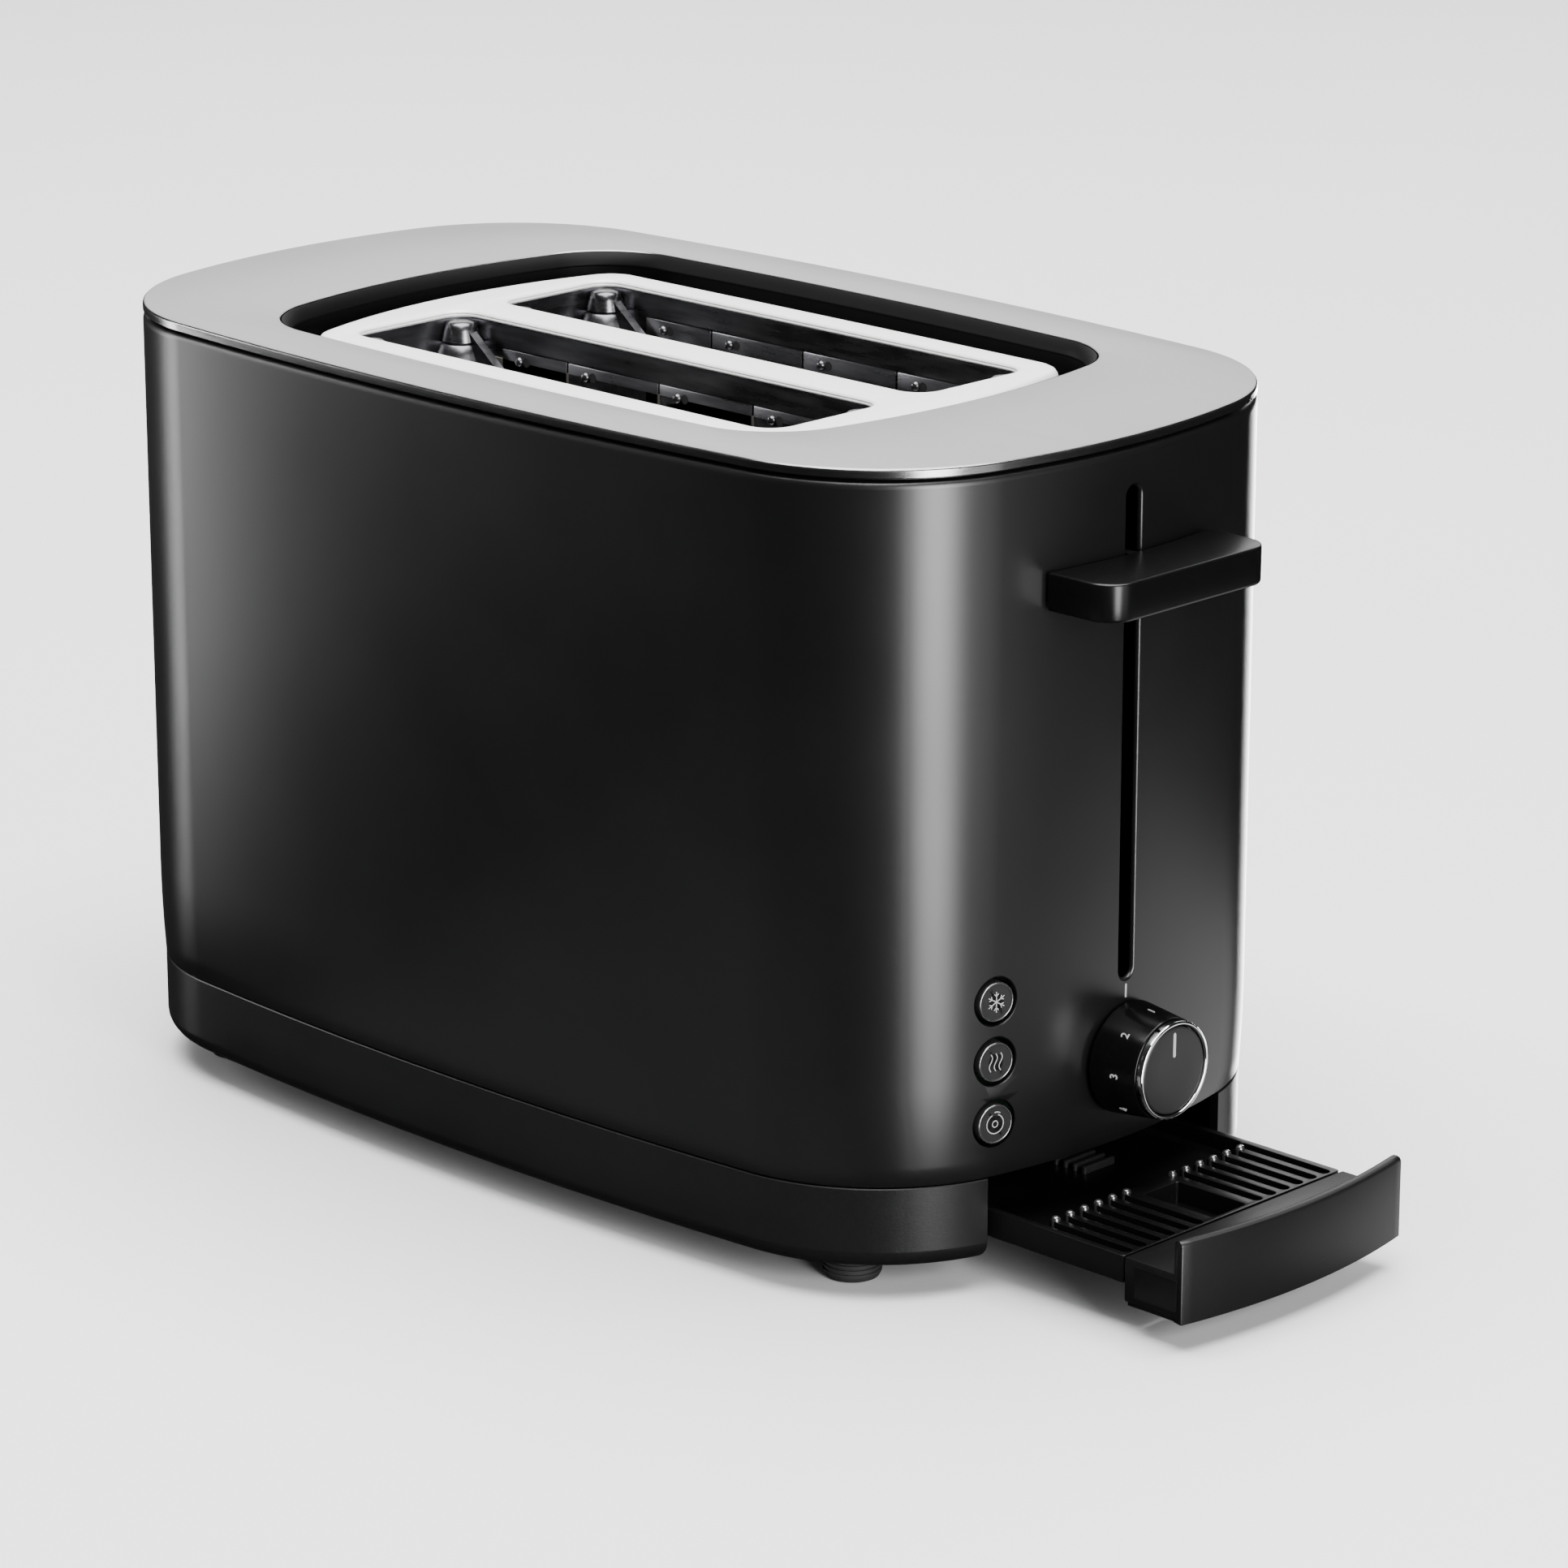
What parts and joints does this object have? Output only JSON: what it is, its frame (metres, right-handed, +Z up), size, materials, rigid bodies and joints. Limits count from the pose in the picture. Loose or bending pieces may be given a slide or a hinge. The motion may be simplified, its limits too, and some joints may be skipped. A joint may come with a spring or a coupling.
{
  "type": "pop up toaster",
  "caption": "Pop-up toaster with bowed sides, steel top plate, lever, browning knob, function buttons and a pull-out crumb drawer.",
  "frame": {"origin": "bottom centre of the whole object's box at rest, with the crumb drawer pulled out, on the plane the feet stand on", "axes": "+X towards the control end with the lever, knob and drawer, +Z up, +Y across the slots"},
  "size_m": [0.3468, 0.1632, 0.1973],
  "materials": {
    "shell_black": "satin",
    "plastic_black": "fine matt grain",
    "gloss_black": "gloss",
    "rubber": "matt",
    "top_steel": "fine brushed",
    "frame_steel": "satin light grey",
    "zinc_steel": "plated",
    "bright_steel": "bright rolled",
    "chrome": "polished",
    "mica": "flaked mica board",
    "copper_wire": "enamelled winding",
    "board_green": "solder mask"
  },
  "bodies": {
    "housing": {"outer_shell": "shell_black", "rear_panel": "plastic_black", "top_plate": "top_steel", "slot_well": "plastic_black", "slot_frame": "frame_steel", "base_housing": "plastic_black", "cord_gland": "rubber", "foot_front_right": "rubber", "foot_front_left": "rubber", "foot_rear_right": "rubber", "foot_rear_left": "rubber", "base_screw_front_right": "zinc_steel", "base_screw_front_left": "zinc_steel", "base_screw_rear_right": "zinc_steel", "base_screw_rear_left": "zinc_steel", "chassis_front_plate": "zinc_steel", "chassis_rear_plate": "zinc_steel", "rod_bracket_lower": "zinc_steel", "rod_bracket_upper": "zinc_steel", "magnet_core": "zinc_steel", "magnet_coil": "copper_wire", "return_spring": "zinc_steel", "circuit_board": "board_green", "browning_potentiometer": "zinc_steel", "switch_defrost": "plastic_black", "switch_reheat": "plastic_black", "switch_bagel": "plastic_black", "slot_liner_left": "bright_steel", "reflector_left": "bright_steel", "heater_board_outer_left": "mica", "heater_board_inner_left": "mica", "guide_rod_left": "chrome", "slot_liner_right": "bright_steel", "reflector_right": "bright_steel", "heater_board_outer_right": "mica", "heater_board_inner_right": "mica", "guide_rod_right": "chrome"},
    "lever": {"lever_handle": "gloss_black", "lever_stem": "zinc_steel", "lever_carriage": "zinc_steel", "armature_plate": "zinc_steel", "bread_rack_left": "zinc_steel", "bread_rack_right": "zinc_steel"},
    "guide_outer_left": {"bread_guide_outer_left": "zinc_steel"},
    "guide_inner_left": {"bread_guide_inner_left": "zinc_steel"},
    "guide_outer_right": {"bread_guide_outer_right": "zinc_steel"},
    "guide_inner_right": {"bread_guide_inner_right": "zinc_steel"},
    "knob": {"knob_body": "gloss_black", "knob_ring": "chrome", "knob_face": "plastic_black", "knob_shaft": "zinc_steel"},
    "button_defrost": {"button_defrost": "gloss_black"},
    "button_reheat": {"button_reheat": "gloss_black"},
    "button_bagel": {"button_bagel": "gloss_black"},
    "drawer": {"drawer_front": "plastic_black", "crumb_tray": "plastic_black"}
  },
  "joints": [
    {"name": "lever_slide", "type": "slide", "parent": "housing", "child": "lever", "axis": [0, 0, 1], "range_m": [-0.092, 0.015], "stiffness_N_per_m": 100, "springref_m": 0.0143, "deforming": ["return_spring"]},
    {"name": "guide_outer_left_slide", "type": "slide", "parent": "housing", "child": "guide_outer_left", "axis": [0, -1, 0], "range_m": [-0.00083, 0.00502]},
    {"name": "guide_inner_left_slide", "type": "slide", "parent": "housing", "child": "guide_inner_left", "axis": [0, 1, 0], "range_m": [-0.00083, 0.00502]},
    {"name": "guide_outer_right_slide", "type": "slide", "parent": "housing", "child": "guide_outer_right", "axis": [0, 1, 0], "range_m": [-0.00083, 0.00502]},
    {"name": "guide_inner_right_slide", "type": "slide", "parent": "housing", "child": "guide_inner_right", "axis": [0, -1, 0], "range_m": [-0.00083, 0.00502]},
    {"name": "knob_turn", "type": "hinge", "parent": "housing", "child": "knob", "pos_m": [0.11715, 0, 0.049], "axis": [1, 0, 0], "range_deg": [-225, 0]},
    {"name": "button_defrost_press", "type": "slide", "parent": "housing", "child": "button_defrost", "axis": [-0.9754, 0.2206, 0], "range_m": [0, 0.0012], "stiffness_N_per_m": 500, "springref_m": -0.001},
    {"name": "button_reheat_press", "type": "slide", "parent": "housing", "child": "button_reheat", "axis": [-0.9754, 0.2206, 0], "range_m": [0, 0.0012], "stiffness_N_per_m": 500, "springref_m": -0.001},
    {"name": "button_bagel_press", "type": "slide", "parent": "housing", "child": "button_bagel", "axis": [-0.9754, 0.2206, 0], "range_m": [0, 0.0012], "stiffness_N_per_m": 500, "springref_m": -0.001},
    {"name": "drawer_slide", "type": "slide", "parent": "housing", "child": "drawer", "axis": [1, 0, 0], "range_m": [-0.0573, 0.11]}
  ],
  "couplings": [
    {"joint": "guide_outer_left_slide", "follows": "lever_slide", "ratio": -0.054348},
    {"joint": "guide_inner_left_slide", "follows": "lever_slide", "ratio": -0.054348},
    {"joint": "guide_outer_right_slide", "follows": "lever_slide", "ratio": -0.054348},
    {"joint": "guide_inner_right_slide", "follows": "lever_slide", "ratio": -0.054348}
  ]
}
